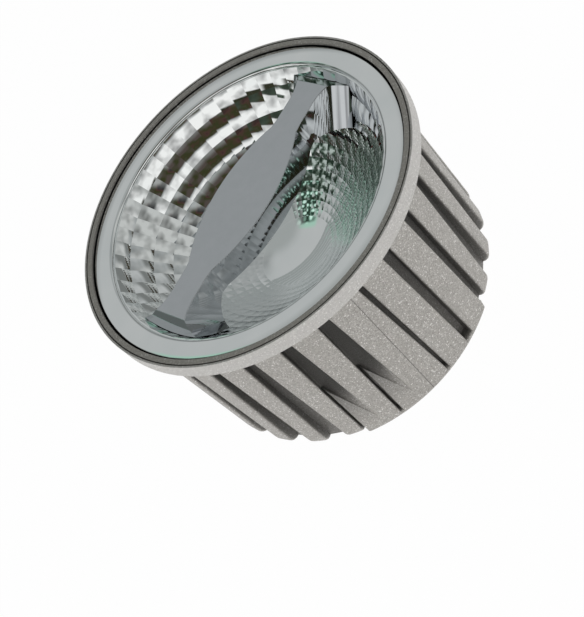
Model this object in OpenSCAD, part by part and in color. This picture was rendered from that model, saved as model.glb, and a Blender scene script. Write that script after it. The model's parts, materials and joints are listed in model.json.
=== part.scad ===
// Round LED module: ribbed die-cast heat sink, faceted reflector, and a bridge across the mouth
// that carries the light source facing back into the bowl.
// The axis is Z, light leaves towards +Z, the bridge lies along X and the rear cover stands on Z = 0.

/* [Front rim] */
// Diameter over the front rim
rim_d = 50; // [48:0.5:53]
// Thickness of the front rim
rim_t = 2.3; // [1.8:0.1:3]
// Width of the rim's front band
rim_band = 1.15; // [0.9:0.05:1.5]
// Distance from the rim's outer edge to the shallow line turned in the front band
rim_line_inset = 0.3; // [0.2:0.02:0.4]
// Width and depth of that line
rim_line = 0.12; // [0.06:0.02:0.2]

/* [Ribs] */
// Number of ribs
rib_count = 25; // [18:1:30]
// How far the rim stands out over the ribs
rim_overhang = 2.05; // [1.6:0.05:2.4]
// Draft of the ribs: loss of radius from the rim to the rear end
rib_draft = 0.47; // [0:0.01:0.8]
// Rounding of the ribs at the rear end
rib_corner = 2; // [0.8:0.1:2.4]
// Width of a gap between two ribs at the rim
gap_front_w = 1.6; // [1.2:0.1:2]
// Width of a gap between two ribs at the rear end
gap_rear_w = 3.2; // [2.2:0.1:3.4]
// Depth of a gap at the rear end
gap_rear_depth = 1.5; // [1.2:0.1:2.4]
// Direction of the gap just before the die's parting line, in degrees from the X axis
parting_angle = 240.3; // [0:0.1:360]
// Width of the slit that is left of the gap at the parting line
slit_w = 0.75; // [0.5:0.05:1]
// Width at the rear end of that slit, and of the two gaps before it
slit_rear_w = 0.4; // [0.2:0.05:0.5]
// Share of the ribs' length at which those two gaps begin to close
close_from = 0.5; // [0.4:0.05:0.6]
// Share of the ribs' length at which those two gaps have become slits
close_to = 0.88; // [0.8:0.02:0.95]
// How far the trailing wall of the next two gaps leans over towards the rear
slide_lean = 0.95; // [0.6:0.05:1.1]
// Rounding of the ribs that the die's slide forms, at the rear end
slide_corner = 0.6; // [0.4:0.1:1]
// Distance from the rear end at which the slide's gaps stop
slide_stop = 0.9; // [0.6:0.1:1.6]
// Least wall left under the gaps, as it is at the rim
sink_wall = 0.8; // [0.7:0.05:1]

/* [Reflector] */
// How far the reflector's flange lies below the rim
flange_drop = 0.35; // [0.2:0.05:0.6]
// Thickness of the flange
flange_t = 0.8; // [0.6:0.05:1]
// Width of the flange, from its edge to the round of the mouth
flange_w = 2.25; // [2.1:0.05:2.6]
// Radius of the rounded mouth
lip_r = 0.6; // [0.4:0.05:0.8]
// Depth of the bowl below the flange
bowl_depth = 14.6; // [13.5:0.1:16]
// Thickness of the bowl along the axis
bowl_wall = 0.6; // [0.5:0.05:0.8]
// Number of facet columns round the bowl
facet_columns = 56; // [40:4:64]
// Full rows of facets between the cut first row and the smooth dish
facet_rows = 10; // [8:1:10]
// Share of a full row that the mouth leaves of the first row
first_row = 0.56; // [0.3:0.02:1]

/* [Bridge] */
// How far the bridge's face lies below the rim
bridge_drop = 0.5; // [0.4:0.05:0.9]
// Height of the bridge
bridge_h = 3.8; // [3.4:0.1:4.4]
// Width at the middle
bridge_mid_w = 9.8; // [8.6:0.1:11]
// Width of the two necks
bridge_neck_w = 4.3; // [4.2:0.1:5.4]
// Length of the widened middle
bridge_bulge_l = 21.8; // [19:0.1:23]
// Fillet between the widened middle and a neck
bridge_fillet = 5; // [2:0.5:8]
// Distance from the end of the bridge's face to the mouth
bridge_end_gap = 2.7; // [2.4:0.1:3.2]
// Radius of the flare where the bridge's sides turn along the bowl
foot_flare = 4; // [3:0.1:4.5]
// Depth of the foot's lowest edge on the bowl, below the bridge's face
foot_drop = 5.2; // [4.9:0.1:5.6]
// Slope of the sole under each foot, in degrees
sole_slope = 22; // [15:1:28]
// Diameter of the peg that passes through the bowl to the heat sink
peg_d = 3.8; // [3.6:0.1:4.2]
// Distance from the centre of a peg to the mouth
peg_inset = 3.4; // [3:0.1:3.8]

/* [Light source] */
// Side of the square light-source board
led_side = 7; // [6:0.1:7.4]
// Thickness of the light-source board
led_t = 1; // [0.8:0.1:1.2]
// Thickness of the heat-conducting pad
pad_t = 0.2; // [0.1:0.05:0.3]
// Outer diameter of the dam round the chips
dam_d = 5.8; // [5:0.1:6]
// Width of the dam
dam_w = 0.6; // [0.4:0.05:0.8]
// Height of the dam
dam_h = 0.5; // [0.4:0.05:0.7]
// Diameter of the two leads
lead_d = 0.8; // [0.6:0.05:0.9]
// Distance from the cup's wall to the place where the leads meet the driver board
land_inset = 3; // [2.6:0.1:3.6]
// Distance of that place from the X axis
land_y = 3.5; // [3.2:0.1:4]

/* [Driver] */
// Diameter of the driver board
board_d = 27; // [25:0.5:28.5]
// Thickness of the driver board
board_t = 1.2; // [1:0.1:1.6]
// Room for the parts in front of the board
front_parts_h = 3.9; // [3.6:0.1:5]
// Room for the parts behind the board
rear_parts_h = 5.65; // [4.8:0.05:6.5]
// Thickness of the insulating lid
lid_t = 0.5; // [0.4:0.05:0.8]
// Side of the shielded inductor
inductor_side = 7; // [6:0.1:7.4]
// Height of the inductor
inductor_h = 3.3; // [2.8:0.1:3.5]
// Length of the two moulded capacitors
cap_l = 7.3; // [6:0.1:7.5]
// Width of the capacitors
cap_w = 4.3; // [3.5:0.1:4.4]
// Height of the capacitors
cap_h = 2.9; // [2:0.1:3.2]
// Length of the input socket along the X axis
socket_l = 8.6; // [8:0.1:10]
// Width of the input socket
socket_w = 5.4; // [5:0.1:6]
// Wall of the input socket
socket_wall = 0.9; // [0.7:0.05:1]
// How far the input socket lies inside the cover's rear face
socket_sink = 0.4; // [0.2:0.05:0.6]
// Distance between the two poles of the socket
pole_pitch = 3.8; // [3.4:0.1:4]
// Diameter of a contact pin
pin_d = 1; // [0.8:0.05:1.2]

/* [Rear cover] */
// Width left round the screw heads at the edge of the rear cover
cover_margin = 0.4; // [0.3:0.05:0.8]
// Thickness of the cover under the screw heads
seat_t = 0.35; // [0.3:0.05:0.8]
// How far the screw heads lie inside the cover's rear face
rear_sink = 0.05; // [0:0.05:0.4]
// How far the cover's floor reaches into the heat sink
floor_step = 1; // [0.8:0.1:1.8]
// Wall of the cup that holds the driver
cup_wall = 1; // [0.8:0.05:1.2]
// Width of the shelf that the driver board lies on
shelf_w = 1; // [0.8:0.1:1.4]
// Rounding of the cover's rear edge
cover_edge = 0.5; // [0.2:0.1:0.8]

/* [Fasteners] */
// Diameter of all screws
screw_d = 2; // [1.6:0.1:2.1]
// Diameter of the screw heads
head_d = 3.4; // [3.2:0.1:3.6]
// Height of the screw heads
head_h = 1.1; // [0.9:0.05:1.2]
// Depth of the cross recess in a head
recess_h = 0.6; // [0.4:0.05:0.7]
// Thickness of the heat sink's pads under the bridge
pad_h = 4.5; // [3.5:0.1:5.5]
// How far a pad reaches past the peg that stands on it
pad_margin = 0.5; // [0.3:0.1:0.7]
// Diameter of the bosses for the cover's screws
boss_d = 3.4; // [3.2:0.1:3.8]
// Height of those bosses
boss_h = 8; // [7:0.1:9]
// Metal left past a blind screw hole, and room left past the screw in it
blind_end = 1; // [0.6:0.1:1.4]

/* [Clearances] */
// Round the reflector's flange
flange_clear = 0.25; // [0.1:0.05:0.3]
// Between the bowl and the heat sink, and between a foot and the bowl
bowl_clear = 0.15; // [0.1:0.05:0.25]
// Round the pegs, the socket and the leads' holes
hole_clear = 0.2; // [0.1:0.05:0.3]
// Round the driver board and the cup
cup_clear = 0.2; // [0.1:0.05:0.3]
// Between a screw and its hole
screw_clear = 0.05; // [0.02:0.01:0.1]
// Between the lid and the bowl
lid_clear = 0.3; // [0.2:0.05:0.5]

/* [Hidden] */
$fn = 96;
// How far a cutter reaches past the solid, and the step that keeps two cutters from meeting edge on edge
cut = 1;
seam = 0.02;

// Heights, stacked from the rear face
head_seat = rear_sink + head_h;
cover_t = head_seat + seat_t;
floor_t = cover_t + floor_step;
board_z = floor_t + rear_parts_h;
board_top = board_z + board_t;
lid_z = board_top + front_parts_h;
bowl_back = lid_z + lid_t + lid_clear;
bowl_vertex = bowl_back + bowl_wall;
flange_front = bowl_vertex + bowl_depth;
flange_back = flange_front - flange_t;
front_z = flange_front + flange_drop;
rim_back = front_z - rim_t;
bridge_front = front_z - bridge_drop;
bridge_back = bridge_front - bridge_h;
led_z = bridge_back - pad_t - led_t;
phosphor_h = 0.8 * dam_h;
socket_h = board_z - socket_sink;

// Radii of the front
rim_r = rim_d / 2;
recess_r = rim_r - rim_band;
flange_r = recess_r - flange_clear;
bowl_r = flange_r - flange_w - lip_r;
mouth_z = flange_front - lip_r;
focal = bowl_r * bowl_r / (4 * (mouth_z - bowl_vertex));

// Inner radius of the bowl at a height, its height at a radius, and its slope there
function bowl_radius(z) = 2 * sqrt(focal * (z - bowl_vertex));
function bowl_height(r) = bowl_vertex + r * r / (4 * focal);
function bowl_slope(r) = atan(r / (2 * focal));

// Pegs of the bridge, the pads that they stand on and the depth of the screw hole in a peg
peg_r = peg_d / 2;
peg_x = bowl_r - peg_inset;
pad_half = peg_r + pad_margin;
peg_seat = bowl_height(peg_x - pad_half) - bowl_wall - 2 * bowl_clear;
pad_z = peg_seat - pad_h;
tap_h = 0.75 * (bowl_height(peg_x) - peg_seat);

// Radii of the heat sink: the bore clears the bowl in front, the bridge's screw heads half-way,
// and takes the cup and bosses behind
cup_inner_r = board_d / 2 + cup_clear;
cup_r = cup_inner_r + cup_wall;
boss_r = cup_r + cup_clear + boss_d / 2;
bore_front_r = bowl_radius(flange_back + bowl_wall) + bowl_clear;
heads_r = peg_x + head_d / 2 + hole_clear;
heads_at = (pad_z - head_h - cover_t) / (rim_back - cover_t);
bore_rear_r = max(boss_r + boss_d / 4, (heads_r - bore_front_r * heads_at) / (1 - heads_at));
rib_front_r = rim_r - rim_overhang;
rib_rear_r = rib_front_r - rib_draft;
floor_front_r = bore_front_r + sink_wall;
floor_rear_r = max(rib_rear_r - gap_rear_depth, bore_rear_r + sink_wall);
cover_r = boss_r + head_d / 2 + hole_clear + cover_edge + cover_margin;
rib_pitch = 360 / rib_count;
bore_l = rim_back - cover_t;

// Gaps between which the die's slide forms the ribs, counted from the gap before the parting line,
// and the directions in which the slide begins, in the first one's slit, and ends
slide_from = -1;
slide_to = 3;
slide_start = parting_angle + slide_from * rib_pitch - asin((gap_rear_w - slit_rear_w) / 2 / rib_rear_r);
slide_end = parting_angle + slide_to * rib_pitch;

// Radius of the heat sink's bore, and of the floor of its gaps, at a height
function bore_radius(z) = bore_rear_r + (bore_front_r - bore_rear_r) * (z - cover_t) / bore_l;
function floor_radius(z) = floor_rear_r + (floor_front_r - floor_rear_r) * (z - cover_t) / bore_l;

// Angles of the facet rows, seen from the focus, the row radii that follow from them, and the
// ball of the smooth dish that lies inside the last row
facet_pitch = 360 / facet_columns;
mouth_angle = 2 * atan(bowl_r / (2 * focal));
first_angle = mouth_angle - first_row * facet_pitch;
row_angles = concat([mouth_angle], [for (i = [0:facet_rows]) first_angle - i * facet_pitch]);
row_radii = [for (a = row_angles) 2 * focal * tan(a / 2)];
last_row_r = row_radii[len(row_radii) - 1];
dish_r = last_row_r * cos(facet_pitch / 2) - seam;
dish_h = bowl_height(last_row_r) - bowl_vertex;
dish_ball_r = (dish_r * dish_r + dish_h * dish_h) / (2 * dish_h);

// Bridge: half sizes, the arcs of its middle, and the frame of its feet
half_l = bowl_r - bridge_end_gap;
half_mid = bridge_mid_w / 2;
half_neck = bridge_neck_w / 2;
half_bulge = bridge_bulge_l / 2;
bulge_rise = half_mid - half_neck;
bulge_r = (half_bulge * half_bulge + bulge_rise * bulge_rise) / (2 * bulge_rise);
foot_z = bridge_front - foot_drop;
foot_wall_r = bowl_radius(foot_z);
foot_tilt = bowl_slope(foot_wall_r);
foot_half = half_neck + foot_flare;
foot_x = sqrt(foot_wall_r * foot_wall_r - foot_half * foot_half);
foot_end = (half_l - foot_x) * cos(foot_tilt) + (bridge_front - foot_z) * sin(foot_tilt);
sole_x = half_l - foot_flare - half_neck;

// Place of the hole through the bowl and of the hole through the lid for the two leads
lead_r = lead_d / 2;
lead_gap = lead_d + 2 * hole_clear;
lead_hole_r = lead_r + lead_gap / 2 + 2 * hole_clear;
lead_hole = [foot_x - foot_flare / 3, foot_half - foot_flare / 2];
lead_land = [cup_inner_r - land_inset, land_y];

// Cross recess of the screws, and the screw holes in the bosses
recess_l = 0.6 * head_d;
recess_w = 0.14 * head_d;
boss_hole_h = boss_h - blind_end;

// Length, width and height of the driver's standard packages
rectifier_size = [4.7, 3.9, 2.4];
controller_size = [4.9, 3.9, 1.5];
diode_size = [4.4, 2.6, 2.2];
resistor_size = [3.2, 1.6, 0.6];
ceramic_size = [3.2, 1.6, 1.2];
leg_l = 1;

// Places of the driver's parts on its board
rectifier_at = board_d * [-0.22, 0.28];
controller_at = board_d * [0, -0.3];
input_cap_at = board_d * [-0.3, -0.02];
output_cap_at = board_d * [0.27, -0.18];
output_cap_angle = 60;
diode_at = board_d * [-0.24, -0.3];
resistors_at = board_d * [0.07, 0.3];
resistor_pitch = 2.6;
ceramics_x = board_d * 0.34;

// A ring of points at a radius and height
function ring(r, z, n) = [for (i = [0:n - 1]) [r * cos(360 * i / n), r * sin(360 * i / n), z]];

// Quads between ring i and ring i + 1 of n points
function band(i, n) = [for (k = [0:n - 1])
    [i * n + k, (i + 1) * n + k, (i + 1) * n + (k + 1) % n, i * n + (k + 1) % n]];

// Points of an arc
function arc(centre, r, from, to, steps) = [for (i = [0:steps])
    let (a = from + (to - from) * i / steps) [centre.x + r * cos(a), centre.y + r * sin(a)]];

// A smooth curve through a list of points
function curve_point(a, b, c, d, t) = 0.5 * (2 * b + (c - a) * t
    + (2 * a - 5 * b + 4 * c - d) * t * t + (3 * b - a - 3 * c + d) * t * t * t);
function curve(p, steps) = let (last = len(p) - 1) concat(
    [for (i = [0:last - 1], s = [0:steps - 1])
        curve_point(p[max(i - 1, 0)], p[i], p[i + 1], p[min(i + 2, last)], s / steps)],
    [p[last]]);

// A round wire along a list of points
module wire(path, r, sides = 8) {
    last = len(path) - 1;
    tangents = [for (i = [0:last]) path[min(i + 1, last)] - path[max(i - 1, 0)]];
    points = [for (i = [0:last])
        let (across = cross(tangents[i], [0, 1, 0]), u = across / norm(across),
             up = cross(u, tangents[i]), v = up / norm(up))
        for (k = [0:sides - 1])
            path[i] + r * (cos(360 * k / sides) * u + sin(360 * k / sides) * v)];
    faces = concat(
        [[for (k = [0:sides - 1]) k]],
        [for (i = [0:last - 1]) each band(i, sides)],
        [[for (k = [0:sides - 1]) last * sides + sides - 1 - k]]);
    polyhedron(points, faces);
}

// The same thing at both ends of the bridge
module at_both_ends() {
    for (side = [0, 180]) rotate([0, 0, side]) children();
}

// The same thing at both bosses of the rear cover
module at_both_bosses() {
    for (side = [90, 270]) rotate([0, 0, side]) translate([boss_r, 0, 0]) children();
}

// A block that stands on Z = 0, centred in X and Y
module block(l, w, h) {
    translate([-l / 2, -w / 2, 0]) cube([l, w, h]);
}

// Rim and ribs before the gaps are cut, with a shallow line near the edge of the front band
module sink_stock() {
    line_r = rim_r - rim_line_inset;
    rotate_extrude() polygon(concat(
        [[0, cover_t]],
        arc([rib_rear_r - rib_corner, cover_t + rib_corner], rib_corner, -90, 0, 6),
        [[rib_front_r, rim_back], [rim_r, rim_back], [rim_r, front_z], [line_r, front_z],
         [line_r - rim_line / 2, front_z - rim_line], [line_r - rim_line, front_z], [0, front_z]]
    ));
}

// Solid cone inside the floors of the gaps, longer than the body at both ends
module gap_core() {
    rear = cover_t - 2 * cut;
    front = rim_back + 2 * cut;
    translate([0, 0, rear]) cylinder(h = front - rear, r1 = floor_radius(rear), r2 = floor_radius(front));
}

// Solid cone that ends half-way in the wall round the bore, longer than the body at both ends
module wall_core() {
    rear = cover_t - 2 * cut;
    front = rim_back + 2 * cut;
    translate([0, 0, rear])
        cylinder(h = front - rear, r1 = bore_radius(rear) + sink_wall / 2,
                 r2 = bore_radius(front) + sink_wall / 2);
}

// Outline of gap number k, from a hair behind the rim to past the rear end: both walls draw apart
// towards the rear; the gaps before the die's parting line close to a slit at one wall, the gap at
// the line is a slit from the rim on, the trailing walls of the next two lean over, and the gaps
// inside the die's slide stop short of the rear end
module gap_outline(k) {
    top = rim_back - seam;
    bottom = k > slide_from && k < slide_to ? cover_t + slide_stop : cover_t - cut;
    front = gap_front_w / 2;
    spread = (gap_rear_w - gap_front_w) / 2;
    run = (top - bottom) / bore_l;
    leading = [[front + spread * run, bottom], [front, top]];
    closing = [
        [slit_rear_w - front - spread * run, bottom],
        [slit_rear_w - front - spread * close_from, top - close_from * bore_l],
        [front + spread * close_to, top - close_to * bore_l],
        [front, top]
    ];
    if (k < 1)
        polygon(concat([[-front, top], [-front - spread * run, bottom]], closing));
    else if (k == 1)
        polygon(concat([[front - slit_w, top], [front + spread * run - slit_rear_w, bottom]], leading));
    else if (k <= 3)
        polygon(concat([[-front, top], [slide_lean * run - front, bottom]], leading));
    else
        polygon(concat([[-front, top], [-front - spread * run, bottom]], leading));
}

// Gap number k, from outside down to the floor of the gaps
module rib_gap(k) {
    difference() {
        rotate([0, 0, parting_angle + k * rib_pitch])
            translate([bore_rear_r, 0, 0]) rotate([90, 0, 90])
                linear_extrude(rim_r - bore_rear_r) gap_outline(k);
        gap_core();
    }
}

// Sharper rear ends of the ribs that the slide forms, a hair inside the faces they fill up to
module slide_ends() {
    inner_r = rib_rear_r - rib_corner;
    outer_r = rib_rear_r - seam;
    rear = cover_t + seam;
    front = cover_t + rib_corner + cut;
    reach = 2 * rim_r;
    intersection() {
        rotate_extrude() polygon(concat(
            [[inner_r, rear]],
            arc([outer_r - slide_corner, rear + slide_corner], slide_corner, -90, 0, 4),
            [[outer_r, front], [inner_r, front]]
        ));
        linear_extrude(front + cut) polygon(concat(
            [[0, 0]],
            [for (a = [slide_start, (slide_start + slide_end) / 2, slide_end]) reach * [cos(a), sin(a)]]
        ));
    }
}

// Seat of the flange and the tapered bore behind it
module sink_cavity() {
    rotate_extrude() polygon([
        [0, cover_t - cut], [bore_radius(cover_t - cut), cover_t - cut],
        [bore_radius(flange_back), flange_back], [recess_r, flange_back],
        [recess_r, front_z + cut], [0, front_z + cut]
    ]);
}

// Pads under the bridge's pegs and bosses for the cover's screws, each joined to the wall
module sink_bosses() {
    web_w = 2 * boss_d / 3;
    intersection() {
        union() {
            at_both_ends() {
                translate([peg_x, 0, pad_z]) cylinder(h = pad_h, r = pad_half);
                translate([peg_x, -pad_half, pad_z]) cube([rim_r, 2 * pad_half, pad_h]);
            }
            at_both_bosses() {
                translate([0, 0, cover_t]) cylinder(h = boss_h, d = boss_d);
                translate([0, -web_w / 2, cover_t]) cube([rim_r, web_w, boss_h]);
            }
        }
        wall_core();
    }
}

module heat_sink() {
    color([0.66, 0.65, 0.62]) difference() {
        union() {
            difference() {
                union() {
                    sink_stock();
                    slide_ends();
                }
                for (k = [slide_from:slide_from + rib_count - 1]) rib_gap(k);
                sink_cavity();
            }
            sink_bosses();
        }
        at_both_ends() translate([peg_x, 0, pad_z - cut])
            cylinder(h = pad_h + 2 * cut, d = screw_d + 2 * screw_clear);
        at_both_bosses() translate([0, 0, cover_t - cut])
            cylinder(h = boss_hole_h + cut, d = screw_d + 2 * screw_clear);
    }
}

// Flange and bowl before the facets are pressed in, with a small flat behind the middle
module reflector_blank() {
    steps = 10;
    step_r = bowl_radius(flange_back + bowl_wall) / steps;
    rotate_extrude() polygon(concat(
        [[0, bowl_back], [step_r, bowl_back]],
        [for (i = [2:steps]) [i * step_r, bowl_height(i * step_r) - bowl_wall]],
        [[flange_r, flange_back], [flange_r, flange_front], [0, flange_front]]
    ));
}

// Faceted inside of the bowl, from the mouth down to the smooth dish
module facets() {
    rows = len(row_radii);
    points = [for (r = row_radii) each ring(r, bowl_height(r), facet_columns)];
    faces = concat(
        [[for (k = [0:facet_columns - 1]) facet_columns - 1 - k]],
        [for (i = [0:rows - 2]) each [for (f = band(i, facet_columns)) [f[3], f[2], f[1], f[0]]]],
        [[for (k = [0:facet_columns - 1]) (rows - 1) * facet_columns + k]]);
    polyhedron(points, faces);
}

// Smooth dish at the bottom of the bowl; its ball is turned so that no pole lies in the dish
module dish() {
    intersection() {
        translate([0, 0, bowl_vertex + dish_ball_r]) rotate([90, 0, 0]) sphere(dish_ball_r);
        translate([0, 0, bowl_vertex - cut]) cylinder(h = dish_h + cut, r = dish_r + cut);
    }
}

// Rounded mouth, a hair wider than the facets' upper edge
module mouth() {
    lip_centre_r = bowl_r + seam + lip_r;
    rotate_extrude() polygon(concat(
        [[0, mouth_z]],
        arc([lip_centre_r, mouth_z], lip_r, 180, 90, 6),
        [[lip_centre_r, flange_front + cut], [0, flange_front + cut]]
    ));
}

module reflector() {
    color([0.78, 0.8, 0.81]) difference() {
        reflector_blank();
        facets();
        dish();
        mouth();
        at_both_ends() translate([peg_x, 0, bowl_back])
            cylinder(h = bowl_depth, r = peg_r + hole_clear);
        translate([lead_hole.x, lead_hole.y, bowl_back]) cylinder(h = bowl_depth, r = lead_hole_r);
    }
}

// Fillet between the widened middle and one neck, in the first quadrant, set a hair into the middle
module neck_fillet() {
    bulge_y = half_mid - bulge_r;
    reach = bulge_r + bridge_fillet - seam / 4;
    fillet_y = half_neck + bridge_fillet;
    fillet_x = sqrt(reach * reach - (fillet_y - bulge_y) * (fillet_y - bulge_y));
    touch = [fillet_x, fillet_y - bulge_y] * bulge_r / reach + [0, bulge_y];
    difference() {
        polygon([[0, 0], [touch.x - bridge_fillet / 2, touch.y], [fillet_x, half_neck], [fillet_x, 0]]);
        translate([fillet_x, fillet_y]) circle(bridge_fillet);
    }
}

// Plan of the bridge: two necks and a middle bounded by two arcs
module bridge_plan() {
    square([2 * half_l, 2 * half_neck], center = true);
    intersection() {
        translate([0, half_mid - bulge_r]) circle(bulge_r, $fn = 240);
        translate([0, bulge_r - half_mid]) circle(bulge_r, $fn = 240);
    }
    for (mx = [0, 1], my = [0, 1]) mirror([mx, 0]) mirror([0, my]) neck_fillet();
}

// Inside of the bowl, drawn in by the clearance and closed at the bridge's face
module bowl_inset() {
    steps = 10;
    top_r = bowl_radius(bridge_front);
    rotate_extrude() polygon(concat(
        [for (i = [0:steps])
            let (r = top_r * i / steps) [max(r - 2 * bowl_clear, 0), bowl_height(r)]],
        [[0, bridge_front]]
    ));
}

// Section of a foot: a hair narrower than the neck, flaring out along the bowl
module foot_section() {
    difference() {
        translate([-foot_half, -foot_flare]) square([2 * foot_half, 2 * foot_flare]);
        for (side = [-1, 1]) translate([side * foot_half, foot_flare]) circle(foot_flare + seam / 4);
    }
}

// Foot at the +X end, cut off square to the bowl at its end and by the sole underneath
module bridge_foot() {
    intersection() {
        bowl_inset();
        translate([foot_x, 0, foot_z]) rotate([0, -foot_tilt, 0]) translate([foot_end, 0, 0])
            rotate([90, 0, 90]) mirror([0, 0, 1]) linear_extrude(2 * foot_end) foot_section();
        translate([sole_x, -rim_r, bridge_back]) rotate([0, sole_slope, 0])
            cube([rim_r, rim_d, rim_r]);
    }
}

module led_bridge() {
    color([0.72, 0.74, 0.76]) difference() {
        union() {
            intersection() {
                translate([0, 0, bridge_back]) linear_extrude(bridge_h) bridge_plan();
                bowl_inset();
            }
            at_both_ends() {
                bridge_foot();
                translate([peg_x, 0, peg_seat])
                    cylinder(h = bowl_height(peg_x) + peg_r - peg_seat, r = peg_r);
            }
        }
        at_both_ends() translate([peg_x, 0, peg_seat - cut])
            cylinder(h = tap_h + cut, d = screw_d + 2 * screw_clear);
    }
}

// Pan-head screw that points up, with the seat of its head at Z = 0 and a cross recess below
module screw(l) {
    difference() {
        union() {
            cylinder(h = l, d = screw_d);
            translate([0, 0, -head_h]) cylinder(h = head_h, d = head_d);
        }
        for (turn = [0, 90]) rotate([0, 0, turn]) translate([0, 0, -head_h - cut])
            block(recess_l, recess_w, recess_h + cut);
    }
}

module bridge_screws() {
    color([0.6, 0.6, 0.58]) at_both_ends() translate([peg_x, 0, pad_z])
        screw(pad_h + tap_h - 2 * screw_clear);
}

module thermal_pad() {
    color([0.75, 0.75, 0.78]) translate([0, 0, led_z + led_t]) block(led_side, led_side, pad_t);
}

module led_board() {
    color([0.92, 0.92, 0.9]) translate([0, 0, led_z]) block(led_side, led_side, led_t);
}

module led_dam() {
    color([0.95, 0.95, 0.93]) translate([0, 0, led_z - dam_h]) difference() {
        cylinder(h = dam_h, d = dam_d);
        translate([0, 0, -cut]) cylinder(h = dam_h + 2 * cut, d = dam_d - 2 * dam_w);
    }
}

module led_phosphor() {
    color([0.86, 0.85, 0.42]) translate([0, 0, led_z - phosphor_h])
        cylinder(h = phosphor_h, d = dam_d - 2 * dam_w);
}

// Lead from a corner of the light-source board, under the bridge and through the bowl to the
// driver board; side is 1 or -1, for the two leads that lie next to each other
module lead(side) {
    shift = side * lead_gap / 2;
    pad = led_side / 2 - lead_r;
    pad_y = pad - lead_gap / 2 + shift;
    under = bridge_back - lead_r - hole_clear;
    hole_x = lead_hole.x - shift;
    hole_z = bowl_height(norm(lead_hole));
    land_x = lead_land.x - shift;
    wire(curve([
        [pad, pad_y, led_z - lead_r],
        [led_side / 2 + lead_d, pad_y, led_z - lead_r],
        [(led_side / 2 + sole_x) / 2, half_neck / 2 + shift, under],
        [sole_x - lead_d, half_neck / 2 + shift, under - lead_r],
        [hole_x, lead_hole.y - lead_r, hole_z + 1.5 * lead_d],
        [hole_x, lead_hole.y, hole_z],
        [hole_x, lead_hole.y, hole_z - 2 * lead_d],
        [land_x, lead_land.y, lid_z + lid_t + 2 * lead_d],
        [land_x, lead_land.y, lid_z],
        [land_x, lead_land.y, board_top]
    ], 3), lead_r);
}

module lead_positive() {
    color([0.7, 0.12, 0.1]) lead(1);
}

module lead_negative() {
    color([0.12, 0.12, 0.12]) lead(-1);
}

module insulating_lid() {
    color([0.9, 0.88, 0.8]) difference() {
        translate([0, 0, lid_z]) cylinder(h = lid_t, r = cup_r);
        translate([lead_land.x, lead_land.y, lid_z - cut])
            cylinder(h = lid_t + 2 * cut, r = lead_hole_r);
    }
}

module driver_board() {
    color([0.1, 0.35, 0.2]) translate([0, 0, board_z]) cylinder(h = board_t, d = board_d);
}

// A driver part at its place on the front of the board
module on_board(at, turn = 0) {
    translate([at.x, at.y, board_top]) rotate([0, 0, turn]) children();
}

// Moulded package with a row of legs on each long side
module package(size, legs) {
    leg_pitch = size.x / legs;
    block(size.x, size.y, size.z);
    for (side = [-1, 1], i = [0:legs - 1])
        translate([(i - (legs - 1) / 2) * leg_pitch, side * (size.y + leg_l) / 2, 0])
            block(0.4 * leg_pitch, leg_l, size.z / 3);
}

// Chip with a slightly higher metal cap at each end
module chip(size) {
    end_l = size.x / 5;
    block(size.x, size.y, 0.9 * size.z);
    for (side = [-1, 1]) translate([side * (size.x - end_l) / 2, 0, 0]) block(end_l, size.y, size.z);
}

// Moulded capacitor with a bent tab at each end
module capacitor() {
    block(cap_l, cap_w, cap_h);
    for (side = [-1, 1]) translate([side * cap_l / 2, 0, 0])
        block(cap_h / 6, 0.55 * cap_w, cap_h / 2);
}

module bridge_rectifier() {
    color([0.13, 0.13, 0.14]) on_board(rectifier_at) package(rectifier_size, 2);
}

module driver_chip() {
    color([0.1, 0.1, 0.11]) on_board(controller_at) package(controller_size, 4);
}

module power_inductor() {
    corner = 0.62 * inductor_side;
    color([0.2, 0.2, 0.21]) on_board([0, 0]) difference() {
        block(inductor_side, inductor_side, inductor_h);
        for (turn = [45, 135, 225, 315]) rotate([0, 0, turn])
            translate([corner, -inductor_side / 2, -cut])
                cube([inductor_side, inductor_side, inductor_h + 2 * cut]);
    }
}

module input_capacitor() {
    color([0.85, 0.65, 0.15]) on_board(input_cap_at, 90) capacitor();
}

module output_capacitor() {
    color([0.85, 0.65, 0.15]) on_board(output_cap_at, output_cap_angle) capacitor();
}

module flyback_diode() {
    color([0.12, 0.12, 0.12]) on_board(diode_at) chip(diode_size);
}

module sense_resistors() {
    color([0.15, 0.15, 0.16]) for (side = [-1, 1])
        on_board(resistors_at + [side * resistor_pitch / 2, 0], 90) chip(resistor_size);
}

module ceramic_capacitors() {
    color([0.7, 0.6, 0.48]) for (side = [-1, 1])
        translate([side * ceramics_x, 0, board_z]) rotate([180, 0, 90]) chip(ceramic_size);
}

module input_socket() {
    well_l = socket_l - 2 * socket_wall;
    well_w = socket_w - 2 * socket_wall;
    color([0.93, 0.92, 0.88]) translate([0, 0, socket_sink]) difference() {
        block(socket_l, socket_w, socket_h);
        translate([0, 0, -cut]) block(well_l, well_w, socket_h - socket_wall + cut);
        for (side = [-1, 1]) translate([side * pole_pitch / 2, 0, 0])
            cylinder(h = socket_h + cut, d = pin_d + 2 * screw_clear);
    }
}

// Two round contact pins that stand on the board and reach into the socket's well
module socket_contacts() {
    pin_h = socket_h - socket_wall;
    color([0.8, 0.66, 0.3]) for (side = [-1, 1]) translate([side * pole_pitch / 2, 0, board_z - pin_h])
        cylinder(h = pin_h, d = pin_d);
}

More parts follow.
